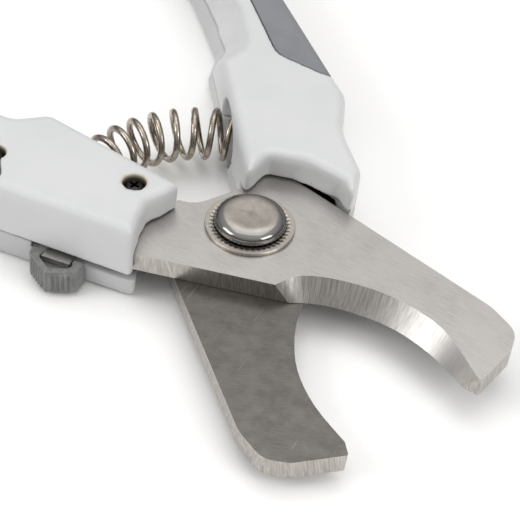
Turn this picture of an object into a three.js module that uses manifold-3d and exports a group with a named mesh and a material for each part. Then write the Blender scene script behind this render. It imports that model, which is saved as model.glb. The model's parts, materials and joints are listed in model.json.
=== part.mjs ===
// Scissor nail clipper for pets: two mirrored blades on a pivot bolt, each with a two-shell handle,
// a coil spring that opens them and a sliding lock. Millimetres, +Z up.
// Origin: on the pivot axis, level with the undersides of the handles. +X: towards the jaws.
// The clipper is drawn open. The lock handle carries the upper blade, the finger handle the lower one.
import * as THREE from 'three';
import { mergeVertices } from 'three/addons/utils/BufferGeometryUtils.js';
import Module from 'manifold-3d';

const wasm = await Module();
wasm.setup();

// ---------- driving dimensions ----------
const handleThickness = 13;
const partingHeight = 5;          // plane where the blades meet and the handle shells meet
const bladeThickness = 3;
const bladeGap = 0.03;            // each blade stands this far from the mating plane
const shellGap = 0.1;             // each shell stands this far from the parting plane
const fitGap = 0.25;              // clearance of a blade in its shell

const pivotHoleRadius = 3.0;
const pivotShankRadius = 2.93;
const pivotHeadRadius = 5.3;
const pivotHeadTop = 10.5;
const upperWasherRadius = 6.6;
const lowerWasherRadius = 6.2;
const pivotNutRadius = 4.6;
const pivotNutHeight = 1.5;

const springCentre = [-6.2, -2.8]; // the spring's axis is an arc about this point
const springOrbit = 20;           // radius of that arc
const springHeight = 5.9;
const springCoilRadius = 3.65;
const springWireRadius = 0.53;
const springStart = 127;          // degrees along the arc
const springEnd = 220.5;
const springTurns = 10.5;
const fingerPocket = { mouth: 135, bottom: 124 };
const lockPocket = { mouth: 211.5, bottom: 223.5 };
const springPocketRadius = 5.3;
const springPostRadius = 2.6;
const springPostLength = 3.4;

const fingerSweepRadius = 15.8;   // room in the finger handle for the upper blade's back corner
const lockSweepRadius = 16.4;     // room in the lock handle for the lower blade's lug
const bladeHeelRadius = 9.7;      // room around both blades' back edges
const sweepGap = 0.25;            // room over and under a blade that swings

const gripThickness = 1.6;
const gripGap = 0.15;
const cavityWall = 3.6;
const hollowHeights = [1.9, 11.1];

const lockTravel = 5.5;
const screwShankRadius = 0.85;
const screwHeadRadius = 1.6;
const screwHeadHeight = 1.4;
const screwPilotRadius = 1.1;
const screwCounterboreRadius = 1.75;
const topSeatHeight = 10.9;       // the lock handle's screws go in from above
const topHeadHeight = 12.5;
const lowSeatHeight = 1.6;        // the finger handle's screws go in from below
const lowHeadHeight = 0.1;
const screwTipInLock = 2.2;
const screwTipInFinger = 9.4;
const bossRadius = 2.9;

const pocketOverrun = 6;          // a spring pocket's cutter starts this far outside its mouth

const roundSegments = 48;
const springBarSegments = 28;
const smallSegments = 20;
const cornerSteps = 4;
const sliverSize = 0.002;         // triangles thinner than this are merged away

// ---------- materials ----------
const finishes = {
  shell: { color: 0xe4e6ea, roughness: 0.45, metalness: 0 },
  grip: { color: 0x8d8f96, roughness: 0.75, metalness: 0 },
  knob: { color: 0x83867f, roughness: 0.4, metalness: 0 },
  blade: { color: 0xb3aeaa, roughness: 0.35, metalness: 1 },
  polished: { color: 0xc4bfb8, roughness: 0.18, metalness: 1 },
  washer: { color: 0xb5aca0, roughness: 0.4, metalness: 1 },
  spring: { color: 0xb0a596, roughness: 0.25, metalness: 1 },
  screw: { color: 0x1c1c1e, roughness: 0.35, metalness: 1 },
  latch: { color: 0x9a9c9e, roughness: 0.4, metalness: 1 },
};

// ---------- solids and meshes ----------
function toSolid(geometry) {
  const bare = geometry.index ? geometry.toNonIndexed() : geometry.clone();
  bare.deleteAttribute('normal');
  bare.deleteAttribute('uv');
  const merged = mergeVertices(bare, 1e-5);
  return new wasm.Manifold(new wasm.Mesh({
    numProp: 3,
    vertProperties: new Float32Array(merged.attributes.position.array),
    triVerts: new Uint32Array(merged.index.array),
  }));
}

function toGeometry(solid) {
  const mesh = solid.simplify(sliverSize).getMesh();
  const geometry = new THREE.BufferGeometry();
  geometry.setAttribute('position', new THREE.BufferAttribute(new Float32Array(mesh.vertProperties), 3));
  geometry.setIndex(new THREE.BufferAttribute(new Uint32Array(mesh.triVerts), 1));
  geometry.computeVertexNormals();
  return geometry;
}

const clipper = new THREE.Group();

function addPart(name, solid, finish) {
  const mesh = new THREE.Mesh(toGeometry(solid), new THREE.MeshStandardMaterial(finish));
  mesh.name = name;
  clipper.add(mesh);
}

function polar(radius, degrees) {
  const angle = THREE.MathUtils.degToRad(degrees);
  return [radius * Math.cos(angle), radius * Math.sin(angle)];
}

// A solid through stacked outlines of equal point count, each { points, z }, counter-clockwise.
function loft(rings) {
  const count = rings[0].points.length;
  const position = [];
  const index = [];
  for (const ring of rings) {
    for (const point of ring.points) position.push(point.x, point.y, ring.z);
  }
  for (let level = 0; level + 1 < rings.length; level += 1) {
    for (let i = 0; i < count; i += 1) {
      const a = level * count + i;
      const b = level * count + ((i + 1) % count);
      index.push(a, b, b + count, a, b + count, a + count);
    }
  }
  const lastRing = (rings.length - 1) * count;
  const capFaces = (ring) => THREE.ShapeUtils.triangulateShape(ring.points, []).map(([a, b, c]) => {
    const [p, q, r] = [ring.points[a], ring.points[b], ring.points[c]];
    const turn = (q.x - p.x) * (r.y - p.y) - (q.y - p.y) * (r.x - p.x);
    return turn > 0 ? [a, b, c] : [a, c, b];
  });
  for (const [a, b, c] of capFaces(rings[0])) index.push(a, c, b);
  for (const [a, b, c] of capFaces(rings.at(-1))) index.push(lastRing + a, lastRing + b, lastRing + c);
  const geometry = new THREE.BufferGeometry();
  geometry.setAttribute('position', new THREE.Float32BufferAttribute(position, 3));
  geometry.setIndex(index);
  return toSolid(geometry);
}

function prism(points, bottom, top) {
  return loft([{ points, z: bottom }, { points, z: top }]);
}

function toVectors(pairs) {
  return pairs.map(([x, y]) => new THREE.Vector2(x, y));
}

function turned(profile, segments = roundSegments) {
  const geometry = new THREE.LatheGeometry(toVectors(profile), segments);
  geometry.rotateX(Math.PI / 2);
  return toSolid(geometry);
}

function cylinder(radius, bottom, top, x = 0, y = 0, segments = smallSegments) {
  const geometry = new THREE.CylinderGeometry(radius, radius, top - bottom, segments);
  geometry.rotateX(Math.PI / 2);
  geometry.translate(x, y, (bottom + top) / 2);
  return toSolid(geometry);
}

function block(minX, maxX, minY, maxY, minZ, maxZ) {
  const geometry = new THREE.BoxGeometry(maxX - minX, maxY - minY, maxZ - minZ);
  geometry.translate((minX + maxX) / 2, (minY + maxY) / 2, (minZ + maxZ) / 2);
  return toSolid(geometry);
}

function cutAll(solid, cutters) {
  return cutters.reduce((rest, cutter) => rest.subtract(cutter), solid);
}

// ---------- outlines ----------
// A corner is [x, y, radius]. Outlines run counter-clockwise.
function mixCorners(from, to, share) {
  return from.map((corner, i) => corner.map((value, k) => value + (to[i][k] - value) * share));
}

// Moves every edge inwards by distance and keeps each round concentric.
function insetCorners(corners, distance) {
  const count = corners.length;
  const edges = corners.map(([x, y], i) => {
    const [nextX, nextY] = corners[(i + 1) % count];
    const length = Math.hypot(nextX - x, nextY - y);
    const direction = [(nextX - x) / length, (nextY - y) / length];
    return { direction, point: [x - direction[1] * distance, y + direction[0] * distance] };
  });
  return corners.map(([, , radius], i) => {
    const before = edges[(i + count - 1) % count];
    const after = edges[i];
    const turn = before.direction[0] * after.direction[1] - before.direction[1] * after.direction[0];
    const dx = after.point[0] - before.point[0];
    const dy = after.point[1] - before.point[1];
    const along = (dx * after.direction[1] - dy * after.direction[0]) / turn;
    const newRadius = Math.max(0.1, radius - Math.sign(turn) * distance);
    return [...before.point.map((value, k) => value + before.direction[k] * along), newRadius];
  });
}

function roundedOutline(corners, steps = cornerSteps) {
  const count = corners.length;
  const points = [];
  corners.forEach(([x, y, radius], i) => {
    const corner = new THREE.Vector2(x, y);
    const back = new THREE.Vector2(...corners[(i + count - 1) % count]).sub(corner);
    const ahead = new THREE.Vector2(...corners[(i + 1) % count]).sub(corner);
    const halfAngle = back.angleTo(ahead) / 2;
    const reach = Math.min(radius / Math.tan(halfAngle), 0.48 * back.length(), 0.48 * ahead.length());
    const start = corner.clone().add(back.setLength(reach));
    const end = corner.clone().add(ahead.setLength(reach));
    const curve = new THREE.QuadraticBezierCurve(start, corner, end);
    points.push(...curve.getPoints(steps));
  });
  return points;
}

// Moves a dense outline outwards, point by point.
function growPoints(points, distance) {
  const count = points.length;
  return points.map((point, i) => {
    const chord = points[(i + 1) % count].clone().sub(points[(i + count - 1) % count]).normalize();
    return new THREE.Vector2(point.x + chord.y * distance, point.y - chord.x * distance);
  });
}

function mirrored(corners) {
  return corners.map(([x, y, ...rest]) => [x, -y, ...rest]).reverse();
}

// ---------- blades ----------
// Both blades have one shape. The lower one is turned over about the X axis and has a shorter tang and
// a lug.
const tangStart = [-4, -11];
const tangDirection = polar(1, 216);
const tangSide = [-tangDirection[1], tangDirection[0]];

function tangPoint(along, outward) {
  return [
    tangStart[0] + along * tangDirection[0] + outward * tangSide[0],
    tangStart[1] + along * tangDirection[1] + outward * tangSide[1],
  ];
}

const heelCorner = [[-6.2, 11.6], [-8.4, 11.1], [-10, 9.8], [-9.8, 8.4]];
const heelWithLug = [
  polar(12.87, 112), polar(12.5, 126), polar(16, 128.5), polar(16, 138), polar(12.9, 139.5),
];
const cuttingEdge = [[13.7, -2], [15.7, 1.3], [19.6, 4.9], [25, 8.1], [31.5, 9.7], [38.6, 9.8]];
const grindLine = [[12.1, -3.6], [12.4, 0.9], [16.2, 5.6], [22.4, 9.9], [30.4, 12.1], [39.5, 10.7]];
const tipCorners = [[40.7, 10.7, 0.4], [38.2, 17.9, 2.4], [35.8, 20.9, 5], [30.2, 20.9, 5]];
const frontScrew = [-11.2, -13];
const edgeSteps = 20;

function bladeOutline(edge, tangLength, heel) {
  const curve = new THREE.SplineCurve(toVectors(edge));
  const tip = roundedOutline([[...edge.at(-1), 0], ...tipCorners, [...heel[0], 0]])
    .slice(cornerSteps + 1, -cornerSteps - 1);
  const back = toVectors([
    ...heel, [-7.8, 5], [-7.75, -2.4], [-7.95, -4], [-8.6, -5.2], [-9.7, -6.2],
    tangPoint(4, -4.6), tangPoint(9.2, -5), tangPoint(11.6, -2.6), tangPoint(tangLength, -2.6),
    tangPoint(tangLength, 1.2), tangPoint(tangLength - 10, 4.4), tangPoint(4.2, 5.3), [-3, -18.2],
  ]);
  return [...curve.getPoints(edgeSteps), ...tip, ...back];
}

function tangHole(tangLength) {
  return tangPoint(tangLength - 4, 0.3);
}

function bladeSolid(tangLength, heel) {
  const bottom = partingHeight + bladeGap;
  const top = partingHeight + bladeThickness;
  const blank = loft([
    { points: bladeOutline(cuttingEdge, tangLength, heel), z: bottom },
    { points: bladeOutline(grindLine, tangLength, heel), z: top },
  ]);
  return cutAll(blank, [
    cylinder(pivotHoleRadius, bottom - 1, top + 1, 0, 0, roundSegments),
    cylinder(screwPilotRadius, bottom - 1, top + 1, ...frontScrew),
    cylinder(screwPilotRadius, bottom - 1, top + 1, ...tangHole(tangLength)),
  ]);
}

function turnedOver(solid) {
  return solid.translate([0, 0, -partingHeight]).rotate([180, 0, 0]).translate([0, 0, partingHeight]);
}

const upperTangLength = 32;
const lowerTangLength = 22;
addPart('upper_blade', bladeSolid(upperTangLength, heelCorner), finishes.blade);
addPart('lower_blade', turnedOver(bladeSolid(lowerTangLength, heelWithLug)), finishes.blade);

// Room for a blade in its shell: its outline a little larger, through one side of the mating plane.
function bladePocket(tangLength, heel) {
  const points = growPoints(bladeOutline(cuttingEdge, tangLength, heel), fitGap);
  return prism(points, partingHeight - 1, partingHeight + bladeThickness + fitGap);
}

// ---------- pivot ----------
const upperWasherBottom = partingHeight + bladeThickness + 0.05;
const upperWasherTop = upperWasherBottom + 0.5;
const headBottom = upperWasherTop + 0.05;
const lowerBladeBottom = partingHeight - bladeThickness;

function pivotBolt() {
  const shankBottom = 0.6;
  return turned([
    [0, shankBottom], [pivotShankRadius - 0.3, shankBottom], [pivotShankRadius, shankBottom + 0.3],
    [pivotShankRadius, headBottom], [pivotHeadRadius - 0.3, headBottom],
    [pivotHeadRadius, headBottom + 0.4],
    [pivotHeadRadius, headBottom + 0.8], [pivotHeadRadius - 0.3, headBottom + 1.35],
    [pivotHeadRadius - 0.9, pivotHeadTop - 0.15], [pivotHeadRadius - 1.7, pivotHeadTop], [0, pivotHeadTop],
  ]);
}

function serratedWasher() {
  const teeth = 60;
  const toothDepth = 0.3;
  const outer = Array.from({ length: teeth * 2 }, (_, i) => {
    const radius = i % 2 ? upperWasherRadius - toothDepth : upperWasherRadius;
    return polar(radius, (i * 180) / teeth);
  });
  const disc = prism(toVectors(outer), upperWasherBottom, upperWasherTop);
  return disc.subtract(cylinder(pivotHoleRadius, 0, handleThickness, 0, 0, roundSegments));
}

function pivotNut() {
  const chamfer = 0.35;
  const nut = turned([
    [0, 0], [pivotNutRadius - chamfer, 0], [pivotNutRadius, chamfer],
    [pivotNutRadius, pivotNutHeight], [0, pivotNutHeight],
  ]);
  const spannerHoleRadius = 0.55;
  const spannerHoleReach = 3.4;
  return cutAll(nut, [
    cylinder(pivotHoleRadius, 0.5, pivotNutHeight + 1, 0, 0, roundSegments),
    cylinder(spannerHoleRadius, -1, 0.35, spannerHoleReach, 0),
    cylinder(spannerHoleRadius, -1, 0.35, -spannerHoleReach, 0),
  ]);
}

function plainWasher() {
  const bottom = pivotNutHeight + 0.05;
  const disc = cylinder(lowerWasherRadius, bottom, lowerBladeBottom - 0.05, 0, 0, roundSegments);
  return disc.subtract(cylinder(pivotHoleRadius, 0, handleThickness, 0, 0, roundSegments));
}

addPart('pivot_bolt', pivotBolt(), finishes.polished);
addPart('serrated_washer', serratedWasher(), finishes.washer);
addPart('plain_washer', plainWasher(), finishes.washer);
addPart('pivot_nut', pivotNut(), finishes.polished);

// ---------- return spring ----------
function springPoint(degrees, radius = springOrbit) {
  const [x, y] = polar(radius, degrees);
  return [springCentre[0] + x, springCentre[1] + y];
}

class SpringPath extends THREE.Curve {
  getPoint(t, target = new THREE.Vector3()) {
    const coilAngle = springTurns * 2 * Math.PI * t;
    const radius = springOrbit + springCoilRadius * Math.cos(coilAngle);
    const [x, y] = springPoint(springStart + (springEnd - springStart) * t, radius);
    return target.set(x, y, springHeight + springCoilRadius * Math.sin(coilAngle));
  }
}

function returnSpring() {
  const sides = 6;
  const stepsPerTurn = 14;
  const corners = Array.from({ length: sides }, (_, i) => polar(springWireRadius, (i * 360) / sides));
  return toSolid(new THREE.ExtrudeGeometry(new THREE.Shape(toVectors(corners)), {
    steps: springTurns * stepsPerTurn,
    extrudePath: new SpringPath(),
  }));
}

addPart('return_spring', returnSpring(), finishes.spring);

// A round bar along the spring's arc between two angles, made longer at its first end by overrun.
function springBar(fromDegrees, toDegrees, radius, overrun) {
  const middle = (fromDegrees + toDegrees) / 2;
  const length = THREE.MathUtils.degToRad(Math.abs(toDegrees - fromDegrees)) * springOrbit;
  const geometry = new THREE.CylinderGeometry(radius, radius, length + overrun, springBarSegments);
  geometry.translate(0, -overrun / 2, 0);
  geometry.rotateZ(THREE.MathUtils.degToRad(middle) + (toDegrees > fromDegrees ? 0 : Math.PI));
  geometry.translate(...springPoint(middle), springHeight);
  return toSolid(geometry);
}

// The round pocket in a handle that takes one end of the spring, with a post inside the coil.
function springPocket({ mouth, bottom }) {
  const sign = Math.sign(bottom - mouth);
  const degreesPerMillimetre = 180 / Math.PI / springOrbit;
  const postTip = bottom - sign * springPostLength * degreesPerMillimetre;
  const post = springBar(postTip, bottom + sign * degreesPerMillimetre, springPostRadius, 0);
  return springBar(mouth, bottom, springPocketRadius, pocketOverrun).subtract(post);
}

// ---------- handles ----------
// Corner lists at the top and at the bottom of each handle; between them the sides are straight.
const fingerTop = [
  [-5.2, 2.6, 1], [-8, 8, 1.5], [-4.2, 12.4, 3], [1.8, 14.6, 1.5], [5.8, 14, 1],
  [1.5, 18.4, 3], [-5.6, 20.7, 3], [-8.6, 22.1, 3], [-14.8, 27, 5], [-20.5, 28.2, 8], [-42, 33.3, 40],
  [-64, 40, 60], [-84, 45.2, 40], [-101, 47.6, 6], [-104.5, 42.5, 5], [-100, 36.6, 6], [-82, 33.4, 40],
  [-62, 29, 40], [-42, 24.5, 12], [-33, 20.2, 5], [-31.4, 14.3, 2],
];
const fingerBottom = [
  [-6.9, 2.7, 0.8], [-9.6, 9.2, 1.2], [-3.6, 12, 2], [0.2, 14.9, 0.8], [3.8, 14.4, 0.8],
  [-0.2, 19.8, 3], [-6.6, 22.4, 3], [-9.4, 23.6, 3], [-15.6, 28.4, 5], [-21.2, 29.8, 8],
  [-42.4, 34.8, 40], [-64.4, 41.6, 60], [-84.3, 46.8, 40], [-101.6, 49, 6], [-105.8, 42.3, 5],
  [-100.4, 35, 6], [-82.6, 31.8, 40], [-63, 28.3, 40], [-53, 25, 12], [-46.6, 23, 5], [-42, 18.9, 3],
];
const lockTop = [
  [-5.1, -15.4, 2], [-7, -13.2, 2], [-7.2, -9.6, 1], [-8, -7.1, 0.8],
  [-30.8, -15.9, 2], [-32.2, -21.4, 4], [-42, -26.4, 12], [-62, -31, 40], [-82, -35.4, 40],
  [-100, -38.6, 6], [-104.5, -44.5, 5], [-101, -49.6, 6], [-84, -47.2, 40], [-64, -42.8, 60],
  [-42, -37.4, 40], [-23, -32.8, 6], [-1.8, -18.5, 0.8],
];
const lockBottom = [
  [-4.9, -15.9, 2], [-7.5, -13, 2], [-8.4, -10, 1], [-8.6, -7.3, 0.8],
  [-41.6, -20, 3], [-46.6, -24.6, 4], [-53, -26.8, 12], [-63, -30.2, 40], [-82.6, -33.8, 40],
  [-100.4, -37, 6], [-105.8, -44.3, 5], [-101.6, -51, 6], [-84.3, -48.8, 40], [-64.4, -44.4, 60],
  [-42.4, -38.9, 40], [-23.6, -34.9, 6], [-0.8, -19.3, 0.8],
];

// grip: the corners behind the mouth around the blades. rear: the corners of the slim part at the back.
const fingerShape = { top: fingerTop, bottom: fingerBottom, grip: [8, 21], rear: [10, 19] };
const lockShape = { top: lockTop, bottom: lockBottom, grip: [4, 17], rear: [6, 15] };
// The lock handle's lower shell stands back along its outer side, where the knob slides.
const recessedSide = [[-23.4, -33.9, 6], [-1.3, -18.2, 0.8]];
const lockLowerShape = {
  ...lockShape,
  top: [...lockTop.slice(0, -2), ...recessedSide],
  bottom: [...lockBottom.slice(0, -2), ...recessedSide],
};

function cornersAt({ top, bottom }, z) {
  return mixCorners(bottom, top, z / handleThickness);
}

const rimRounding = [[0, 1.3], [0.2, 0.7], [0.7, 0.2], [1.6, 0]]; // [rise, inset]

// A whole handle's outer form, with rounded rims.
function handleForm(shape) {
  const levels = [
    ...rimRounding,
    ...rimRounding.map(([rise, inset]) => [handleThickness - rise, inset]).reverse(),
  ];
  return loft(levels.map(([z, inset]) => {
    const corners = insetCorners(cornersAt(shape, z), inset);
    return { points: roundedOutline(corners), z };
  }));
}

// The form of a stretch of a handle, with its sides moved inwards, between two heights.
function innerForm(shape, [first, last], inset, from, to) {
  const rings = [from, to].map((z) => {
    const corners = cornersAt(shape, z).slice(first, last);
    return { points: roundedOutline(insetCorners(corners, inset)), z };
  });
  return loft(rings);
}

const pilotEnd = 0.4;             // a pilot hole goes this far past the screw's tip
const lap = 0.1;                  // joined cutters run into each other by this

function topSeat([x, y], tip) {
  return [
    cylinder(screwCounterboreRadius, topSeatHeight, handleThickness + 1, x, y),
    cylinder(screwPilotRadius, tip - pilotEnd, topSeatHeight + lap, x, y),
  ];
}

function lowSeat([x, y], tip) {
  return [
    cylinder(screwCounterboreRadius, -1, lowSeatHeight, x, y),
    cylinder(screwPilotRadius, lowSeatHeight - lap, tip + pilotEnd, x, y),
  ];
}

// The hollow in the slim part of a handle, less the columns that take its screws.
function handleHollow(shape, screws) {
  const hollow = innerForm(shape, shape.rear, cavityWall, ...hollowHeights);
  return cutAll(hollow, screws.map(([x, y]) => cylinder(bossRadius, -1, handleThickness + 1, x, y)));
}

// Soft grip region: from a boundary across the handle's top and bottom out past its outer side.
const fingerGripRegion = [
  [-20.3, 26.9, 1.5], [-19.2, 40, 1], [-97.5, 70, 1], [-97.5, 43.6, 3], [-82, 40.6, 30], [-62, 34.4, 40],
  [-43.5, 27.8, 20], [-28.6, 23.2, 5],
];
const lockGripRegion = mirrored(fingerGripRegion).map(([x, y, radius]) => [x - 1, y - 2.4, radius]);

function gripParts(shape, region) {
  const core = (inset) => innerForm(shape, shape.grip, inset, inset, handleThickness - inset);
  const regionPrism = prism(roundedOutline(region), -1, handleThickness + 1);
  const widerRegion = prism(roundedOutline(insetCorners(region, -gripGap)), -1, handleThickness + 1);
  const skin = handleForm(shape).intersect(regionPrism).subtract(core(gripThickness));
  const recess = widerRegion.subtract(core(gripThickness + gripGap));
  return { skin, recess };
}

const upperHalf = block(-200, 200, -200, 200, partingHeight + shellGap, handleThickness + 1);
const lowerHalf = block(-200, 200, -200, 200, -1, partingHeight - shellGap);

// One shell of a handle and the soft grip set into it; the screw seats go through both.
function handleHalf(shape, region, half, seats, cutters) {
  const { skin, recess } = gripParts(shape, region);
  const shell = cutAll(handleForm(shape).intersect(half), [recess, ...seats, ...cutters]);
  return { shell, grip: cutAll(skin.intersect(half), seats) };
}

// Room for the other blade's back to swing in: a wedge of the given radius and a round at the heel.
function sweepRoom(radius, fromDegrees, toDegrees, bottom, top) {
  const steps = 16;
  const step = (toDegrees - fromDegrees) / steps;
  const rim = Array.from({ length: steps + 1 }, (_, i) => polar(radius, fromDegrees + step * i));
  const wedge = prism(toVectors([[0, 0], ...rim]), bottom, top);
  return wedge.add(cylinder(bladeHeelRadius, bottom, top, 0, 0, roundSegments));
}

// ----- finger handle -----
const [lowerTangHoleX, lowerTangHoleY] = tangHole(lowerTangLength);
const fingerScrews = {
  front: [frontScrew[0], -frontScrew[1]],
  middle: [lowerTangHoleX, -lowerTangHoleY],
  rear: [-93, 39.2],
};

function fingerHandle() {
  const screws = Object.values(fingerScrews);
  const seats = screws.flatMap((centre) => lowSeat(centre, screwTipInFinger));
  const cutters = [
    springPocket(fingerPocket),
    sweepRoom(fingerSweepRadius, 40, 146.5, partingHeight - 1, partingHeight + bladeThickness + sweepGap),
    turnedOver(bladePocket(lowerTangLength, heelWithLug)),
    handleHollow(fingerShape, screws),
  ];
  return [upperHalf, lowerHalf].map((half) => (
    handleHalf(fingerShape, fingerGripRegion, half, seats, cutters)
  ));
}

const [fingerUpper, fingerLower] = fingerHandle();
addPart('finger_handle_upper_shell', fingerUpper.shell, finishes.shell);
addPart('finger_handle_lower_shell', fingerLower.shell, finishes.shell);
addPart('finger_handle_upper_grip', fingerUpper.grip, finishes.grip);
addPart('finger_handle_lower_grip', fingerLower.grip, finishes.grip);

// ----- lock handle -----
// The lock runs along the handle's straight outer side: along is counted back from the front corner,
// outward from that side.
const lockStart = [-1.9, -19.1];
const lockDirection = polar(1, 216);
const lockSide = [-lockDirection[1], lockDirection[0]];

function lockPoint(along, outward) {
  return new THREE.Vector2(
    lockStart[0] + along * lockDirection[0] + outward * lockSide[0],
    lockStart[1] + along * lockDirection[1] + outward * lockSide[1],
  );
}

function lockPrism(pairs, bottom, top) {
  return prism(pairs.map(([along, outward]) => lockPoint(along, outward)), bottom, top);
}

function lockBlock(along, outward, bottom, top) {
  const [back, front] = along;
  const [inner, outer] = outward;
  return lockPrism([[front, inner], [front, outer], [back, outer], [back, inner]], bottom, top);
}

const lockScrews = {
  front: frontScrew,
  middle: tangHole(upperTangLength),
  rear: [-93, -41.8],
};
const frontScrewTip = partingHeight + 0.4;
const platePlane = [3.75, 4.55];
const knobHeights = [0.7, 4.55];
const plateRear = 17;
const slotRear = 15.4;
const slotBottom = 3.5;
const detentPocket = { along: [12.2, 20.4], outward: [-6.4, -3.4], bottom: 1.9 };

function lockHandle() {
  const bodyScrews = [lockScrews.middle, lockScrews.rear];
  const seats = bodyScrews.flatMap((centre) => topSeat(centre, screwTipInLock));
  const sharedCutters = [springPocket(lockPocket), handleHollow(lockShape, bodyScrews)];
  const upperCutters = [
    bladePocket(upperTangLength, heelCorner),
    ...topSeat(lockScrews.front, frontScrewTip),
  ];
  const lowerCutters = [
    sweepRoom(lockSweepRadius, 218.6, 300, lowerBladeBottom - sweepGap, partingHeight + 1),
    lockBlock([-8, slotRear], [-1, 6], slotBottom, partingHeight + 1),
    lockBlock([-8, plateRear + 1], [-8.4, -0.9], slotBottom, partingHeight + 1),
    lockBlock(detentPocket.along, detentPocket.outward, detentPocket.bottom, partingHeight + 1),
  ];
  return [
    handleHalf(lockShape, lockGripRegion, upperHalf, seats, [...sharedCutters, ...upperCutters]),
    handleHalf(lockLowerShape, lockGripRegion, lowerHalf, seats, [...sharedCutters, ...lowerCutters]),
  ];
}

const [lockUpper, lockLower] = lockHandle();
addPart('lock_handle_upper_shell', lockUpper.shell, finishes.shell);
addPart('lock_handle_lower_shell', lockLower.shell, finishes.shell);
addPart('lock_handle_upper_grip', lockUpper.grip, finishes.grip);
addPart('lock_handle_lower_grip', lockLower.grip, finishes.grip);

// ---------- lock ----------
function lockPlate() {
  const plate = lockPrism([
    [4.8, -7.8], [plateRear, -7.8], [plateRear, -2.6], [13, -2.6], [13, 1.2], [8.6, 1.2], [8.6, -2.6],
    [7.4, -2.6], [4.8, -4],
  ], ...platePlane);
  const detentHoles = [15.3, 15.3 - lockTravel].map((along) => {
    const centre = lockPoint(along, -4.9);
    return cylinder(0.6, 0, handleThickness, centre.x, centre.y);
  });
  return cutAll(plate, detentHoles);
}

function lockKnob() {
  const bodyOutline = [[6.7, 0], [15.1, 0], [14.9, 1.3], [11, 4.2], [6.9, 2.3]];
  const pocketOutline = [[8.1, 0.9], [13.4, 0.9], [13.2, 1.5], [11, 3.1], [8.4, 1.9]];
  const outerWalls = [[[7.3, 2.5], [10.7, 4.05]], [[11.5, 3.85], [14.5, 1.6]]];
  const ribsPerWall = 5;
  const ribRadius = 0.3;
  const ribs = [];
  for (const wall of outerWalls) {
    const [from, to] = wall.map(([along, outward]) => lockPoint(along, outward));
    for (let i = 0; i < ribsPerWall; i += 1) {
      const { x, y } = from.clone().lerp(to, (i + 0.5) / ribsPerWall);
      ribs.push(cylinder(ribRadius, knobHeights[0] + 0.25, knobHeights[1] - 0.5, x, y, 8));
    }
  }
  const tabSlot = lockBlock([8.4, 13.2], [-1, 1.4], platePlane[0] - 0.15, platePlane[1] + 1);
  const body = lockPrism(bodyOutline, ...knobHeights);
  const withRibs = ribs.reduce((solid, rib) => solid.add(rib), body);
  return cutAll(withRibs, [lockPrism(pocketOutline, 3.3, partingHeight + 1), tabSlot]);
}

function detentSpring() {
  const { along, outward } = detentPocket;
  const low = 2.05;
  const thickness = 0.35;
  const crest = platePlane[0] - 0.1;
  const lower = [
    [along[0] + 0.4, low], [along[0] + 1.6, low], [along[0] + 3.1, crest - thickness],
    [along[0] + 4.1, low + 0.4], [along[1] - 0.4, low],
  ];
  const upper = lower.map(([s, z]) => [s, z + thickness]).reverse();
  const shape = new THREE.Shape(toVectors([...lower, ...upper]));
  const width = outward[1] - outward[0] - 0.6;
  const geometry = new THREE.ExtrudeGeometry(shape, { depth: width, bevelEnabled: false });
  const frame = new THREE.Matrix4().makeBasis(
    new THREE.Vector3(lockDirection[0], lockDirection[1], 0),
    new THREE.Vector3(0, 0, 1),
    new THREE.Vector3(lockSide[0], lockSide[1], 0).negate(),
  );
  const corner = lockPoint(0, outward[1] - 0.3);
  frame.setPosition(corner.x, corner.y, 0);
  geometry.applyMatrix4(frame);
  return toSolid(geometry);
}

addPart('lock_plate', lockPlate(), finishes.latch);
addPart('lock_knob', lockKnob(), finishes.knob);
addPart('lock_detent_spring', detentSpring(), finishes.latch);

// ---------- screws ----------
// head and tip are heights; the head is at the top or at the bottom end.
function screw([x, y], headZ, tipZ) {
  const up = Math.sign(headZ - tipZ);
  const underHead = headZ - up * screwHeadHeight;
  const span = (a, b, radius) => cylinder(radius, Math.min(a, b), Math.max(a, b), x, y);
  const recess = span(headZ - up * 0.7, headZ + up, 0.75);
  return span(underHead, headZ, screwHeadRadius)
    .add(span(tipZ, underHead + up * 0.2, screwShankRadius))
    .subtract(recess);
}

for (const [place, centre] of Object.entries(lockScrews)) {
  const tip = place === 'front' ? frontScrewTip : screwTipInLock;
  addPart(`lock_handle_${place}_screw`, screw(centre, topHeadHeight, tip), finishes.screw);
}
for (const [place, centre] of Object.entries(fingerScrews)) {
  addPart(`finger_handle_${place}_screw`, screw(centre, lowHeadHeight, screwTipInFinger), finishes.screw);
}

export default clipper;
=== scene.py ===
"""Looks of the scissor nail clipper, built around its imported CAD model.

Shapes are made in millimetres and scaled to metres when they are placed. The frame is the CAD
model's: origin on the pivot axis at the handles' undersides, +X towards the jaws, +Z up.
"""
import json
import math

import bmesh
import bpy
from mathutils import Matrix, Vector


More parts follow.
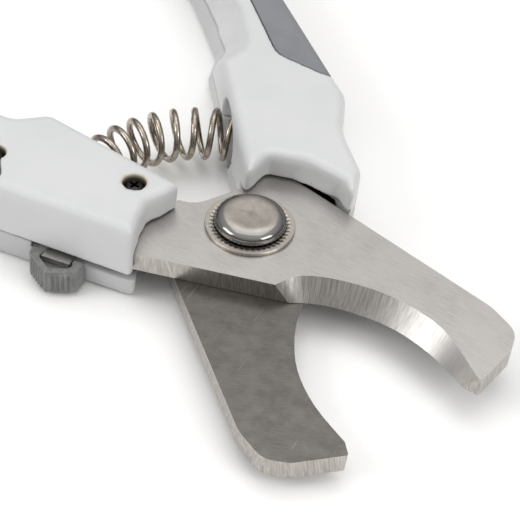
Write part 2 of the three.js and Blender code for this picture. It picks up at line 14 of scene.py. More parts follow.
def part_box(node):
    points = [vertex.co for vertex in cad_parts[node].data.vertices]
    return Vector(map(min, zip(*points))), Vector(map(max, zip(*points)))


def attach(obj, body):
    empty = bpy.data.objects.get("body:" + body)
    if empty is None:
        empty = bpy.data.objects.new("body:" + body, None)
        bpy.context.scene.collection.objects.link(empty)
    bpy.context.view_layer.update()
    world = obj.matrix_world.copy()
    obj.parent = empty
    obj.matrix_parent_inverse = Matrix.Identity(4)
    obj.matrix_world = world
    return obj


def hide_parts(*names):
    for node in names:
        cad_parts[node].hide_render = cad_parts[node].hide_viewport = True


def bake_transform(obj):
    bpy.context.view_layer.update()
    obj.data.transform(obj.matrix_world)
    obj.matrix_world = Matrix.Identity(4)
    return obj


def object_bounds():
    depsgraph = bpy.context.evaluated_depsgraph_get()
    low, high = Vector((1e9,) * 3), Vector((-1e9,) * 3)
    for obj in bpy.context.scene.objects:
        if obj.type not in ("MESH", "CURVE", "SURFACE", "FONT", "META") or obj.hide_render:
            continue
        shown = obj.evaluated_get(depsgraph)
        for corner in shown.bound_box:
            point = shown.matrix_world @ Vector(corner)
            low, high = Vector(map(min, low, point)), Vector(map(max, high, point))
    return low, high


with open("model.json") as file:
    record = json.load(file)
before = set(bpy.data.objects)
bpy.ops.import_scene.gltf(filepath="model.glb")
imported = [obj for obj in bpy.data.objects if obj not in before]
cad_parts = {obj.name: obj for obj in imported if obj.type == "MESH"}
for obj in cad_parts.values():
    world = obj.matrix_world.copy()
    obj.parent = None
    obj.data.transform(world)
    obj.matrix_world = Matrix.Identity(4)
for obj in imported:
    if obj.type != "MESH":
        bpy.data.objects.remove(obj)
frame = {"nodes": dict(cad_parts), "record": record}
cad_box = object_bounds()

MM = 0.001
record = frame["record"]
BODY_OF = {node: body for body, nodes in record["behaviour"]["bodies"].items() for node in nodes}

# ---------- sizes, in millimetres ----------
PARTING_HEIGHT = 5.0
HEAD_BOTTOM = 8.6
HEAD_TOP = 10.5
SHANK_RADIUS = 2.93
SHANK_BOTTOM = 0.6
WASHER_RADIUS = 6.6
WASHER_BOTTOM = 8.05
WASHER_TOP = 8.55
WASHER_TEETH = 44
SPRING_CENTRE = Vector((-6.2, -2.8, 5.9))
SPRING_ORBIT = 20.0
SPRING_COIL_RADIUS = 3.65
SPRING_WIRE_RADIUS = 0.53
SPRING_START = math.radians(127)
SPRING_END = math.radians(220.5)
SPRING_TURNS = 10.5
HANDLE_TOP = 13.0
SCREW_HOLES = [(-11.2, -13.0), (-26.48, -27.9), (-93.0, -41.8)]
SCREW_HOLE_RADIUS = 1.75
SCREW_HEAD_HEIGHT = 1.4
SCREW_SHANK_RADIUS = 0.85
SCREW_ROOT_RADIUS = 0.7
SCREW_PITCH = 0.5
MATING_BAND = 0.2  # half the height range that counts as the face between the blades
GRINDING_LINES = 110.0
WASHER_SCRATCHES = 26.0
FLOOR_GAP = 0.00003  # metres
NOTCH_CENTRE = (34.7, 14.1)  # of the lower blade's curved edge; the upper one's is mirrored in Y


# ---------- mesh helpers ----------
def link_mesh(name, mesh):
    obj = bpy.data.objects.new(name, mesh)
    bpy.context.scene.collection.objects.link(obj)
    return obj


def cad_copy(node):
    """A new object with a CAD node's shape, in millimetres, with its doubled vertices merged."""
    mesh = frame["nodes"][node].data.copy()
    mesh.transform(Matrix.Scale(1 / MM, 4))
    normals = mesh.attributes.get("custom_normal")
    if normals:
        mesh.attributes.remove(normals)
    work = bmesh.new()
    work.from_mesh(mesh)
    bmesh.ops.remove_doubles(work, verts=work.verts, dist=0.002)
    work.to_mesh(mesh)
    work.free()
    return link_mesh(node + "_form", mesh)


def applied(obj, kind, **settings):
    """Adds one modifier, and keeps its result as the object's own mesh."""
    modifier = obj.modifiers.new(kind.title(), kind)
    for name, value in settings.items():
        setattr(modifier, name, value)
    graph = bpy.context.evaluated_depsgraph_get()
    mesh = bpy.data.meshes.new_from_object(obj.evaluated_get(graph), depsgraph=graph)
    obj.modifiers.clear()
    old = obj.data
    obj.data = mesh
    bpy.data.meshes.remove(old)
    return obj


def smooth_shaded(obj):
    obj.data.shade_smooth()
    return obj


def moulded(node, voxel, rounds, keep):
    """A plastic or rubber moulding: the CAD shape with every edge softly rounded."""
    obj = cad_copy(node)
    applied(obj, "REMESH", mode="VOXEL", voxel_size=voxel, adaptivity=0.0)
    applied(obj, "SMOOTH", factor=0.5, iterations=rounds)
    if keep < 1:
        applied(obj, "DECIMATE", ratio=keep)
    return smooth_shaded(obj)


def machined(node, edge):
    """A metal part: the CAD shape with flat faces and a fine bevel on each edge."""
    obj = cad_copy(node)
    work = bmesh.new()
    work.from_mesh(obj.data)
    bmesh.ops.dissolve_limit(work, angle_limit=math.radians(0.6), verts=work.verts, edges=work.edges)
    work.to_mesh(obj.data)
    work.free()
    applied(obj, "BEVEL", width=edge, segments=2, limit_method="ANGLE", angle_limit=math.radians(32))
    smooth_shaded(obj)
    return applied(obj, "WEIGHTED_NORMAL", keep_sharp=True)


def place(obj, node, material):
    """Scales a finished form to metres and lets it stand for a CAD node."""
    obj.data.transform(Matrix.Scale(MM, 4))
    obj.data.materials.clear()
    obj.data.materials.append(material)
    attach(obj, BODY_OF[node])
    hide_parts(node)
    return obj


def lathe(name, profile, segments):
    """A turned form from (radius, height) points whose ends lie on the axis."""
    work = bmesh.new()
    axis_bottom = work.verts.new((0, 0, profile[0][1]))
    axis_top = work.verts.new((0, 0, profile[-1][1]))
    rings = []
    for radius, height in profile[1:-1]:
        ring = []
        for step in range(segments):
            angle = 2 * math.pi * step / segments
            ring.append(work.verts.new((radius * math.cos(angle), radius * math.sin(angle), height)))
        rings.append(ring)
    for step in range(segments):
        after = (step + 1) % segments
        work.faces.new((axis_bottom, rings[0][after], rings[0][step]))
        work.faces.new((axis_top, rings[-1][step], rings[-1][after]))
        for lower, upper in zip(rings, rings[1:]):
            work.faces.new((lower[step], lower[after], upper[after], upper[step]))
    mesh = bpy.data.meshes.new(name)
    work.to_mesh(mesh)
    work.free()
    return link_mesh(name, mesh)


# ---------- material helpers ----------
def feed(tree, socket, value):
    """Links another node's output to a socket, or sets the socket's constant."""
    if isinstance(value, bpy.types.NodeSocket):
        tree.links.new(value, socket)
    else:
        socket.default_value = value


def add(tree, kind, inputs=None, **settings):
    """Adds a shader node; each input is a constant or another node's output."""
    node = tree.nodes.new("ShaderNode" + kind)
    for name, value in settings.items():
        setattr(node, name, value)
    for name, value in (inputs or {}).items():
        feed(tree, node.inputs[name], value)
    return node


def new_material(name):
    material = bpy.data.materials.new(name)
    material.use_nodes = True
    tree = material.node_tree
    shader = tree.nodes["Principled BSDF"]
    return material, tree, shader


def millimetres(tree):
    """The point in the object's own frame, in millimetres."""
    inputs = {0: add(tree, "TexCoord").outputs["Object"], 1: (1 / MM,) * 3}
    return add(tree, "VectorMath", inputs, operation="MULTIPLY").outputs[0]


def stretched(tree, point, turn, scale, shear=0.0):
    """The point turned about Z by -turn degrees, sheared with height and scaled per axis."""
    inputs = {"Vector": point, "Angle": -math.radians(turn)}
    vector = add(tree, "VectorRotate", inputs, rotation_type="Z_AXIS").outputs[0]
    if shear:
        height = add(tree, "SeparateXYZ", {0: vector}).outputs[2]
        shift = add(tree, "Math", {0: height, 1: shear}, operation="MULTIPLY").outputs[0]
        offset = add(tree, "CombineXYZ", {0: shift, 1: shift}).outputs[0]
        vector = add(tree, "VectorMath", {0: vector, 1: offset}, operation="ADD").outputs[0]
    return add(tree, "VectorMath", {0: vector, 1: scale}, operation="MULTIPLY").outputs[0]


def noise(tree, vector, scale=1.0, detail=2.0, roughness=0.5):
    inputs = {"Vector": vector, "Scale": scale, "Detail": detail, "Roughness": roughness}
    return add(tree, "TexNoise", inputs).outputs["Fac"]


def remap(tree, value, low, high, to_low, to_high):
    inputs = {"Value": value, "From Min": low, "From Max": high, "To Min": to_low, "To Max": to_high}
    return add(tree, "MapRange", inputs).outputs["Result"]


def math_node(tree, operation, a, b=0.0):
    return add(tree, "Math", {0: a, 1: b}, operation=operation).outputs[0]


def mix(tree, share, a, b):
    """A colour between a and b."""
    node = tree.nodes.new("ShaderNodeMix")
    node.data_type = "RGBA"
    for socket, value in ((node.inputs[0], share), (node.inputs[6], a), (node.inputs[7], b)):
        feed(tree, socket, value)
    return node.outputs[2]


def mix_value(tree, share, a, b):
    node = tree.nodes.new("ShaderNodeMix")
    node.data_type = "FLOAT"
    for socket, value in ((node.inputs[0], share), (node.inputs[2], a), (node.inputs[3], b)):
        feed(tree, socket, value)
    return node.outputs[0]


def bump(tree, shader, height, strength, distance):
    inputs = {"Height": height, "Strength": strength, "Distance": distance}
    tree.links.new(add(tree, "Bump", inputs).outputs[0], shader.inputs["Normal"])


def grey(level, warmth=0.0):
    """A near-neutral colour; warmth above 0 leans to red, below 0 to blue."""
    return (level * (1 + warmth), level, level * (1 - warmth), 1.0)


def speck_mask(tree, point, per_mm, radius, share):
    """1 on small round specks, 0 elsewhere; share is how many cells hold one."""
    cells = add(tree, "TexVoronoi", {"Vector": point, "Scale": per_mm})
    draw = add(tree, "SeparateColor", {0: cells.outputs["Color"]}).outputs[0]
    chosen = math_node(tree, "LESS_THAN", draw, share)
    near = math_node(tree, "LESS_THAN", cells.outputs["Distance"], radius * per_mm)
    return math_node(tree, "MULTIPLY", chosen, near)


# ---------- materials ----------
def shell_plastic(name, level):
    """Cool white moulded plastic with a fine satin texture, a few dark specks, tan-stained screw-hole
    rims and painted shade on the holes' inner walls.
    """
    material, tree, shader = new_material(name)
    point = millimetres(tree)
    cloud = noise(tree, point, 0.09, 3.0)
    share = remap(tree, cloud, 0.35, 0.65, 0, 1)
    colour = mix(tree, share, grey(level - 0.015, -0.01), grey(level + 0.015, -0.007))
    flat = add(tree, "VectorMath", {0: point, 1: (1, 1, 0)}, operation="MULTIPLY").outputs[0]
    height = add(tree, "SeparateXYZ", {0: point}).outputs[2]
    depth = remap(tree, height, HANDLE_TOP - 0.7, HANDLE_TOP - 0.1, 1, 0)
    wobble = remap(tree, noise(tree, point, 1.3), 0, 1, -0.35, 0.35)
    for x, y in SCREW_HOLES:
        reach = add(tree, "VectorMath", {0: flat, 1: (x, y, 0)}, operation="DISTANCE").outputs["Value"]
        stained = math_node(tree, "ADD", reach, wobble)
        rim = remap(tree, stained, SCREW_HOLE_RADIUS, SCREW_HOLE_RADIUS + 0.5, 0.7, 0)
        colour = mix(tree, rim, colour, (0.50, 0.41, 0.26, 1))
        # Painted shade: the screw holes' inner walls below the top are painted dark brown.
        hole_wall_painted_shade = remap(tree, reach, SCREW_HOLE_RADIUS + 0.2, SCREW_HOLE_RADIUS + 0.5, 1, 0)
        colour = mix(tree, math_node(tree, "MULTIPLY", hole_wall_painted_shade, depth), colour, (0.09, 0.075, 0.055, 1))
    specks = speck_mask(tree, point, 0.30, 0.14, 0.22)
    colour = mix(tree, math_node(tree, "MULTIPLY", specks, 0.55), colour, (0.20, 0.20, 0.21, 1))
    tree.links.new(colour, shader.inputs["Base Color"])
    grain = noise(tree, point, 2.6, 3.0, 0.6)
    tree.links.new(remap(tree, grain, 0.3, 0.7, 0.36, 0.5), shader.inputs["Roughness"])
    swell = math_node(tree, "MULTIPLY", noise(tree, point, 0.16, 1.0), 3.0)
    bump(tree, shader, math_node(tree, "ADD", grain, swell), strength=0.35, distance=0.00003)
    return material


def soft_grip():
    """Matt mid-grey rubber with a fine pebbled surface."""
    material, tree, shader = new_material("soft_grip")
    point = millimetres(tree)
    cloud = noise(tree, point, 0.12, 3.0)
    share = remap(tree, cloud, 0.35, 0.65, 0, 1)
    colour = mix(tree, share, (0.200, 0.203, 0.220, 1), (0.236, 0.239, 0.257, 1))
    tree.links.new(colour, shader.inputs["Base Color"])
    pebbles = add(tree, "TexVoronoi", {"Vector": point, "Scale": 2.2}).outputs["Distance"]
    fine = noise(tree, point, 5.0, 2.0)
    height = math_node(tree, "ADD", pebbles, fine)
    tree.links.new(remap(tree, fine, 0.3, 0.7, 0.58, 0.74), shader.inputs["Roughness"])
    shader.inputs["Specular IOR Level"].default_value = 0.4
    bump(tree, shader, height, strength=0.35, distance=0.00004)
    return material


def knob_plastic():
    """Grey moulded plastic, a little shiny and rubbed brighter in places."""
    material, tree, shader = new_material("knob_plastic")
    point = millimetres(tree)
    cloud = noise(tree, point, 0.9, 3.0)
    share = remap(tree, cloud, 0.35, 0.65, 0, 1)
    colour = mix(tree, share, (0.150, 0.152, 0.146, 1), (0.215, 0.217, 0.209, 1))
    tree.links.new(colour, shader.inputs["Base Color"])
    grain = noise(tree, point, 4.0, 3.0)
    tree.links.new(remap(tree, grain, 0.3, 0.7, 0.26, 0.44), shader.inputs["Roughness"])
    bump(tree, shader, grain, strength=0.3, distance=0.00003)
    return material


def blade_steel(name, grain_angle, notch_side):
    """Ground stainless steel: long grain on the faces, upright lines on the edges, grinding lines
    across the notch's bevel, and a darker, blotchy face where it slides on the other blade, partly its
    ground finish and partly painted shade from the other blade. The edges carry painted shade too, and
    the bevel has painted shade near the notch and a painted highlight towards the tip."""
    material, tree, shader = new_material(name)
    point = millimetres(tree)
    split = add(tree, "SeparateXYZ", {0: point})
    up = add(tree, "SeparateXYZ", {0: add(tree, "NewGeometry").outputs["Normal"]}).outputs[2]
    steep = math_node(tree, "ABSOLUTE", up)
    face = remap(tree, steep, 0.93, 0.97, 0, 1)
    bevel = remap(tree, steep, 0.25, 0.40, 0, 1)
    inputs = {0: split.outputs[2], 1: PARTING_HEIGHT, 2: MATING_BAND}
    mating = add(tree, "Math", inputs, operation="COMPARE").outputs[0]

    long_grain = noise(tree, stretched(tree, point, grain_angle, (0.35, 8.0, 1.0)), 1.0, 4.0, 0.65)
    upright = noise(tree, stretched(tree, point, 30, (4.5, 4.5, 0.25), 0.12), 1.0, 4.0, 0.7)
    inputs = {0: point, 1: (NOTCH_CENTRE[0], notch_side * NOTCH_CENTRE[1], 0)}
    from_notch = add(tree, "VectorMath", inputs, operation="SUBTRACT").outputs[0]
    notch = add(tree, "SeparateXYZ", {0: from_notch})
    backwards = math_node(tree, "MULTIPLY", notch.outputs[0], -1.0)
    bearing = math_node(tree, "ARCTAN2", notch.outputs[1], backwards)
    across = math_node(tree, "MULTIPLY", bearing, GRINDING_LINES)
    along = math_node(tree, "MULTIPLY", split.outputs[2], 0.35)
    ground = noise(tree, add(tree, "CombineXYZ", {0: across, 1: along}).outputs[0], 1.0, 4.0, 0.7)
    streak = mix_value(tree, face, mix_value(tree, bevel, upright, ground), long_grain)
    level = remap(tree, streak, 0.3, 0.7, 0, 1)

    cloud = remap(tree, noise(tree, point, 0.22, 3.0), 0.35, 0.65, 0, 1)
    outer_base = mix(tree, cloud, grey(0.38, 0.045), grey(0.46, 0.04))
    outer_face = mix(tree, level, outer_base, grey(0.56, 0.035))
    blotch = remap(tree, noise(tree, point, 0.45, 4.0, 0.6), 0.3, 0.7, 0, 1)
    # The mating face's dark tone is partly its ground finish and partly painted shade from the blade
    # above.
    mating_finish_and_shade = mix(tree, blotch, (0.112, 0.106, 0.094, 1), (0.172, 0.160, 0.148, 1))
    mating_face = mix(tree, math_node(tree, "MULTIPLY", level, 0.35), mating_finish_and_shade, grey(0.25, 0.05))
    # Painted light: the bevel is painted darker near the notch and nearly white towards the tip, a
    # painted highlight.
    tipward_painted_light = remap(tree, split.outputs[0], 20, 39, 0, 1)
    bevel_dark = mix(tree, tipward_painted_light, grey(0.17, 0.06), grey(0.66, 0.035))
    bevel_light = mix(tree, tipward_painted_light, grey(0.42, 0.05), grey(0.94, 0.025))
    # The edges' dark tone is partly rough grinding and partly painted shade.
    plain_edge = mix(tree, level, grey(0.28, 0.07), grey(0.58, 0.06))
    edge = mix(tree, bevel, plain_edge, mix(tree, level, bevel_dark, bevel_light))
    colour = mix(tree, face, edge, mix(tree, mating, outer_face, mating_face))
    scratch_lines = noise(tree, stretched(tree, point, grain_angle + 68, (0.12, 6.0, 1.0)), 1.0, 2.0, 0.4)
    scratch = remap(tree, scratch_lines, 0.70, 0.76, 0, 0.35)
    colour = mix(tree, scratch, colour, grey(0.66, 0.03))
    tree.links.new(colour, shader.inputs["Base Color"])
    shader.inputs["Metallic"].default_value = 1.0
    tree.links.new(remap(tree, streak, 0.25, 0.75, 0.44, 0.30), shader.inputs["Roughness"])
    bump(tree, shader, streak, strength=0.4, distance=0.00002)
    return material


def polished_steel():
    """A polished rivet head whose side is painted dark as a painted reflection, with a brushed, slightly
    stained flat top.
    """
    material, tree, shader = new_material("polished_steel")
    point = millimetres(tree)
    up = add(tree, "SeparateXYZ", {0: add(tree, "NewGeometry").outputs["Normal"]}).outputs[2]
    top = remap(tree, up, 0.955, 0.995, 0, 1)
    lines = noise(tree, stretched(tree, point, 20, (0.5, 7.0, 1.0)), 1.0, 3.0, 0.6)
    stain = noise(tree, point, 0.8, 4.0, 0.6)
    brushed = mix(tree, remap(tree, stain, 0.35, 0.7, 0, 1), grey(0.40, 0.09), grey(0.29, 0.11))
    brushed = mix(tree, remap(tree, lines, 0.3, 0.7, 0, 0.3), brushed, grey(0.50, 0.07))
    inputs = {0: point, 1: (0, 0, HEAD_TOP)}
    reach = add(tree, "VectorMath", inputs, operation="DISTANCE").outputs["Value"]
    mark = math_node(tree, "MULTIPLY", remap(tree, reach, 0.1, 0.9, 0.5, 0), stain)
    brushed = mix(tree, mark, brushed, grey(0.16, 0.1))
    # Painted reflection: the polished side is painted dark, standing in for dark surroundings reflected
    # in it.
    tree.links.new(mix(tree, top, grey(0.25, 0.03), brushed), shader.inputs["Base Color"])
    shader.inputs["Metallic"].default_value = 1.0
    tree.links.new(mix_value(tree, top, 0.13, 0.34), shader.inputs["Roughness"])
    bump(tree, shader, mix_value(tree, top, 0.5, lines), strength=0.25, distance=0.00002)
    return material


def washer_steel():
    """Warm nickel plating with radial scratches and painted shade close to the pivot head."""
    material, tree, shader = new_material("washer_steel")
    point = millimetres(tree)
    split = add(tree, "SeparateXYZ", {0: point})
    angle = math_node(tree, "ARCTAN2", split.outputs[1], split.outputs[0])
    radius = add(tree, "VectorMath", {0: point, 1: (1, 1, 0)}, operation="MULTIPLY").outputs[0]
    radius = add(tree, "VectorMath", {0: radius}, operation="LENGTH").outputs["Value"]
    turned = math_node(tree, "MULTIPLY", angle, WASHER_SCRATCHES)
    polar = add(tree, "CombineXYZ", {0: turned, 1: radius}).outputs[0]
    rays = noise(tree, polar, 1.4, 4.0, 0.7)
    share = remap(tree, rays, 0.3, 0.7, 0, 1)
    colour = mix(tree, share, (0.36, 0.325, 0.285, 1), (0.56, 0.52, 0.475, 1))
    # Painted shade: the ring just outside the bolt head's rim is painted near-black.
    reach = math_node(tree, "ADD", radius, remap(tree, rays, 0.3, 0.7, -0.12, 0.12))
    head_edge_painted_shade = remap(tree, reach, 5.3, 5.8, 0.97, 0)
    colour = mix(tree, head_edge_painted_shade, colour, (0.035, 0.03, 0.025, 1))
    tree.links.new(colour, shader.inputs["Base Color"])
    shader.inputs["Metallic"].default_value = 1.0
    tree.links.new(remap(tree, rays, 0.3, 0.7, 0.42, 0.22), shader.inputs["Roughness"])
    bump(tree, shader, rays, strength=0.5, distance=0.00004)
    return material


def spring_steel():
    """Bright warm nickel wire with drawn streaks."""
    material, tree, shader = new_material("spring_steel")
    point = millimetres(tree)
    streak = noise(tree, point, 1.6, 4.0, 0.65)
    share = remap(tree, streak, 0.3, 0.7, 0, 1)
    colour = mix(tree, share, (0.25, 0.21, 0.170, 1), (0.50, 0.455, 0.39, 1))
    tree.links.new(colour, shader.inputs["Base Color"])
    shader.inputs["Metallic"].default_value = 1.0
    tree.links.new(remap(tree, streak, 0.3, 0.7, 0.3, 0.14), shader.inputs["Roughness"])
    bump(tree, shader, noise(tree, point, 5.0, 2.0), strength=0.25, distance=0.00002)
    return material


def plain_metal(name, dark, light, roughness, scale):
    """A plain metal with cloudy colour and fine unevenness."""
    material, tree, shader = new_material(name)
    point = millimetres(tree)
    cloud = noise(tree, point, scale, 4.0, 0.6)
    share = remap(tree, cloud, 0.3, 0.7, 0, 1)
    tree.links.new(mix(tree, share, dark, light), shader.inputs["Base Color"])
    shader.inputs["Metallic"].default_value = 1.0
    gloss = remap(tree, cloud, 0.3, 0.7, roughness + 0.08, roughness - 0.05)
    tree.links.new(gloss, shader.inputs["Roughness"])
    bump(tree, shader, cloud, strength=0.3, distance=0.00002)
    return material


# The lower shells use a darker copy of the same plastic (level 0.53 against 0.64): painted shade.
PLASTIC = {
    "upper": shell_plastic("handle_plastic_upper", level=0.64),
    "lower": shell_plastic("handle_plastic_lower_painted_shade", level=0.53),
}
GRIP = soft_grip()
KNOB = knob_plastic()
UPPER_STEEL = blade_steel("blade_steel_upper", grain_angle=24, notch_side=-1)
LOWER_STEEL = blade_steel("blade_steel_lower", grain_angle=52, notch_side=1)
POLISHED = polished_steel()
WASHER = washer_steel()
SPRING = spring_steel()
LATCH = plain_metal("latch_steel", grey(0.38, 0.02), grey(0.60, 0.02), roughness=0.32, scale=1.2)
SCREW = plain_metal("black_screw", grey(0.012), grey(0.05), roughness=0.24, scale=2.0)


# ---------- pivot ----------
def pivot_bolt():
    side = [(5.02, 0.0), (5.2, 0.1), (5.28, 0.28), (5.3, 0.5), (5.28, 0.75), (5.2, 1.0), (5.07, 1.22),
            (4.88, 1.42), (4.65, 1.58), (4.38, 1.7), (4.1, 1.79), (3.8, 1.85), (3.5, 1.885), (3.2, 1.9)]
    profile = [(0, SHANK_BOTTOM), (SHANK_RADIUS - 0.3, SHANK_BOTTOM), (SHANK_RADIUS, SHANK_BOTTOM + 0.3),
               (SHANK_RADIUS, HEAD_BOTTOM)]
    profile += [(radius, HEAD_BOTTOM + rise) for radius, rise in side]
    profile += [(2.6, HEAD_TOP - 0.03), (1.2, HEAD_TOP - 0.07), (0, HEAD_TOP - 0.08)]
    bolt = smooth_shaded(lathe("pivot_bolt_form", profile, segments=144))
    bolt.data.set_sharp_from_angle(angle=math.radians(50))
    return place(bolt, "pivot_bolt", POLISHED)


def serrated_washer():
    """A thin ring with a crown of radial teeth around the bolt's head."""
    segments = WASHER_TEETH * 8
    bore = 3.0
    toothed_radius = 5.5
    tooth_reach = 0.4
    tooth_depth = 0.15
    rows = [(radius, WASHER_TOP) for radius in (bore, 5.0, 5.2, 5.35, 5.5, 5.7, 5.85, 6.0, 6.4, 6.54)]
    rows += [(WASHER_RADIUS, WASHER_TOP - 0.07), (WASHER_RADIUS, WASHER_BOTTOM), (bore, WASHER_BOTTOM)]
    work = bmesh.new()
    rings = []
    for radius, height in rows:
        window = tooth_depth * max(0.0, 1 - abs(radius - toothed_radius) / tooth_reach)
        ring = []
        for step in range(segments):
            angle = 2 * math.pi * step / segments
            notch = window * (0.5 - 0.5 * math.cos(WASHER_TEETH * angle))
            x, y = radius * math.cos(angle), radius * math.sin(angle)
            ring.append(work.verts.new((x, y, height - notch)))
        rings.append(ring)
    for inner, outer in zip(rings, rings[1:] + rings[:1]):
        for step in range(segments):
            after = (step + 1) % segments
            work.faces.new((inner[step], outer[step], outer[after], inner[after]))
    mesh = bpy.data.meshes.new("serrated_washer_form")
    work.to_mesh(mesh)
    work.free()
    ring = smooth_shaded(link_mesh("serrated_washer_form", mesh))
    ring.data.set_sharp_from_angle(angle=math.radians(40))
    return place(ring, "serrated_washer", WASHER)


pivot_bolt()
serrated_washer()
place(machined("plain_washer", edge=0.08), "plain_washer", WASHER)
place(machined("pivot_nut", edge=0.1), "pivot_nut", POLISHED)

# ---------- blades ----------
place(machined("upper_blade", edge=0.09), "upper_blade", UPPER_STEEL)
place(machined("lower_blade", edge=0.09), "lower_blade", LOWER_STEEL)

# ---------- handles ----------
for handle in ("finger_handle", "lock_handle"):
    for half in ("upper", "lower"):
        shell = f"{handle}_{half}_shell"
        place(moulded(shell, voxel=0.25, rounds=7, keep=0.35), shell, PLASTIC[half])
        grip = f"{handle}_{half}_grip"
        place(moulded(grip, voxel=0.22, rounds=4, keep=0.35), grip, GRIP)

# ---------- lock ----------
place(moulded("lock_knob", voxel=0.08, rounds=4, keep=0.5), "lock_knob", KNOB)
place(machined("lock_plate", edge=0.05), "lock_plate", LATCH)
place(machined("lock_detent_spring", edge=0.04), "lock_detent_spring", LATCH)


# ---------- screws ----------
def slot_cutter(centre, up, head, turn):
    """A tapered bar that leaves one half of the drive recess in a screw head."""
    work = bmesh.new()
    bar = bmesh.ops.create_cube(work, size=1.0)["verts"]
    for vertex in bar:
        taper = 0.7 if vertex.co.z < 0 else 1.0
        vertex.co = Vector((vertex.co.x * 2.0 * taper, vertex.co.y * 0.5 * taper, vertex.co.z * 1.6))
    bmesh.ops.rotate(work, verts=bar, cent=(0, 0, 0), matrix=Matrix.Rotation(math.radians(turn), 3, "Z"))
    if up < 0:
        bmesh.ops.rotate(work, verts=work.verts, cent=(0, 0, 0), matrix=Matrix.Rotation(math.pi, 3, "X"))
    bmesh.ops.translate(work, verts=work.verts, vec=(centre[0], centre[1], head))
    mesh = bpy.data.meshes.new("slot_cutter")
    work.to_mesh(mesh)
    work.free()
    return link_mesh("slot_cutter", mesh)


def screw(node):
    """A black pan-head screw, with the head at the top for the lock handle's screws and at the bottom for
    the others.
    """
    low, high = (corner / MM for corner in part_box(node))
    up = 1 if node.startswith("lock") else -1
    centre = (low + high) / 2
    head = high.z if up > 0 else low.z
    base = head - up * SCREW_HEAD_HEIGHT
    tip = low.z if up > 0 else high.z
    rows = [(0, tip), (0.55, tip), (SCREW_SHANK_RADIUS, tip + up * 0.4)]
    thread_turns = int(abs(base - tip - up * 0.6) / SCREW_PITCH)
    for turn in range(thread_turns):
        rows.append((SCREW_SHANK_RADIUS, tip + up * SCREW_PITCH * (turn + 1)))
        rows.append((SCREW_ROOT_RADIUS, tip + up * SCREW_PITCH * (turn + 1.5)))
    rows += [(SCREW_SHANK_RADIUS, base - up * 0.05), (1.45, base), (1.6, base + up * 0.25)]
    rows += [(1.57, base + up * 0.7), (1.42, base + up * 1.1)]
    rows += [(1.1, head - up * 0.08), (0.7, head), (0, head)]
    if up < 0:
        rows.reverse()
    obj = lathe(node + "_form", rows, segments=48)
    obj.data.transform(Matrix.Translation((centre.x, centre.y, 0)))
    for turn in (20, 110):
        cutter = slot_cutter(centre, up, head, turn)
        applied(obj, "BOOLEAN", object=cutter, operation="DIFFERENCE", solver="EXACT")
        bpy.data.objects.remove(cutter)
    smooth_shaded(obj)
    obj.data.set_sharp_from_angle(angle=math.radians(40))
    return place(obj, node, SCREW)


for handle in ("finger_handle", "lock_handle"):
    for position in ("front", "middle", "rear"):
        screw(f"{handle}_{position}_screw")


# ---------- return spring ----------
def return_spring():
    """A round wire wound along an arc between the handles."""
    steps_per_turn = 40
    sides = 14
    steps = int(SPRING_TURNS * steps_per_turn)

    def axis(t, swing=0.0, rise=0.0):
        orbit = SPRING_START + (SPRING_END - SPRING_START) * t
        radius = SPRING_ORBIT + swing
        return SPRING_CENTRE + Vector((radius * math.cos(orbit), radius * math.sin(orbit), rise))

    def path(t):
        coil = SPRING_TURNS * 2 * math.pi * t
        return axis(t, SPRING_COIL_RADIUS * math.cos(coil), SPRING_COIL_RADIUS * math.sin(coil))

    work = bmesh.new()
    rings = []
    for step in range(steps + 1):
        t = step / steps
        centre = path(t)
        tangent = (path(t + 1e-4) - path(t - 1e-4)).normalized()
        outward = (centre - axis(t)).normalized()
        side = tangent.cross(outward).normalized()
        ring = []
        for k in range(sides):
            angle = 2 * math.pi * k / sides
            offset = outward * math.cos(angle) + side * math.sin(angle)
            ring.append(work.verts.new(centre + offset * SPRING_WIRE_RADIUS))
        rings.append(ring)
    for first, second in zip(rings, rings[1:]):
        for k in range(sides):
            after = (k + 1) % sides
            work.faces.new((first[k], first[after], second[after], second[k]))
    work.faces.new(list(reversed(rings[0])))
    work.faces.new(rings[-1])
    bmesh.ops.recalc_face_normals(work, faces=work.faces)
    mesh = bpy.data.meshes.new("return_spring_form")
    work.to_mesh(mesh)
    work.free()
    mesh.transform(Matrix.Scale(MM, 4))
    obj = smooth_shaded(link_mesh("return_spring_form", mesh))
    obj.data.set_sharp_from_angle(angle=math.radians(60))
    obj.data.materials.append(SPRING)
    first, last = (axis(t) * MM for t in (0, 1))
    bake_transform(obj)
    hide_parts("return_spring")
    return obj


return_spring()


# ---------- stage, light and camera ----------
def floor():
    mesh = bpy.data.meshes.new("floor")
    reach = 3.0
    low = cad_box[0].z - FLOOR_GAP
    corners = [(-reach, -reach, low), (reach, -reach, low), (reach, reach, low), (-reach, reach, low)]
    mesh.from_pydata(corners, [], [(0, 1, 2, 3)])
    obj = link_mesh("floor", mesh)
    material, tree, shader = new_material("floor_white")
    shader.inputs["Base Color"].default_value = (0.97, 0.967, 0.96, 1)
    shader.inputs["Roughness"].default_value = 0.7
    shader.inputs["Specular IOR Level"].default_value = 0.2
    obj.data.materials.append(material)


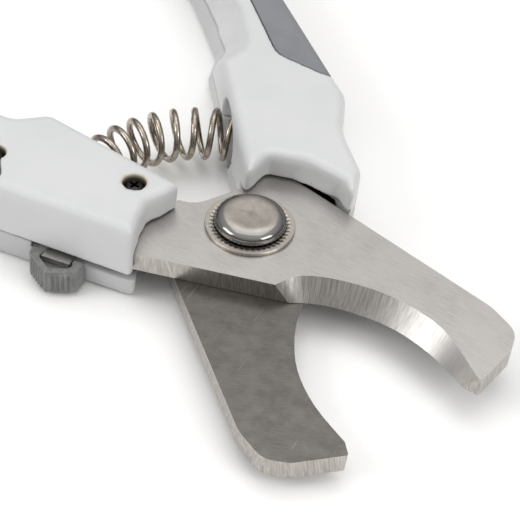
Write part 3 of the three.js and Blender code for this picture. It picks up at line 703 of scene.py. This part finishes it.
def softbox(name, azimuth, elevation, distance, size, power):
    """A rectangular lamp on a sphere about the pivot, facing it; azimuth counts from +X."""
    light = bpy.data.lights.new(name, "AREA")
    light.shape = "RECTANGLE"
    light.size = size[0]
    light.size_y = size[1]
    light.energy = power
    obj = bpy.data.objects.new(name, light)
    bpy.context.scene.collection.objects.link(obj)
    a = math.radians(azimuth)
    e = math.radians(elevation)
    away = Vector((math.cos(a) * math.cos(e), math.sin(a) * math.cos(e), math.sin(e)))
    obj.location = away * distance
    obj.rotation_euler = away.to_track_quat("Z", "Y").to_euler()


def studio():
    world = bpy.data.worlds.new("studio")
    world.use_nodes = True
    tree = world.node_tree
    background = tree.nodes["Background"]
    background.inputs["Color"].default_value = (1.0, 0.995, 0.985, 1)
    direction = add(tree, "TexCoord").outputs["Generated"]
    rise = add(tree, "SeparateXYZ", {0: direction}).outputs[2]
    tree.links.new(remap(tree, rise, 0.05, 0.9, 0.06, 0.98), background.inputs["Strength"])
    bpy.context.scene.world = world
    softbox("left_box", azimuth=-110, elevation=36, distance=0.8, size=(0.44, 0.30), power=1.6)
    softbox("right_box", azimuth=22, elevation=33, distance=0.8, size=(0.42, 0.28), power=1.5)
    softbox("top_box", azimuth=140, elevation=72, distance=1.0, size=(0.8, 0.8), power=2.2)
    bpy.context.scene.view_settings.view_transform = "Standard"


def camera():
    """At the photograph's angle: azimuth and elevation as seen from the pivot, and a small roll."""
    azimuth = math.radians(52.72)
    elevation = math.radians(42.39)
    roll = math.radians(6.4)
    sensor_width = 36.0
    focal_length = 110.1
    position = Vector((0.13948, -0.10363, 0.16016))
    level = math.cos(elevation)
    back = Vector((math.sin(azimuth) * level, -math.cos(azimuth) * level, math.sin(elevation)))
    level_right = Vector((math.cos(azimuth), math.sin(azimuth), 0))
    level_up = back.cross(level_right)
    right = math.cos(roll) * level_right + math.sin(roll) * level_up
    up = -math.sin(roll) * level_right + math.cos(roll) * level_up
    data = bpy.data.cameras.new("photo_angle")
    data.sensor_width = sensor_width
    data.lens = focal_length
    obj = bpy.data.objects.new("photo_angle", data)
    bpy.context.scene.collection.objects.link(obj)
    matrix = Matrix((right, up, back)).transposed().to_4x4()
    matrix.translation = position
    obj.matrix_world = matrix
    bpy.context.scene.camera = obj


floor()
studio()
camera()
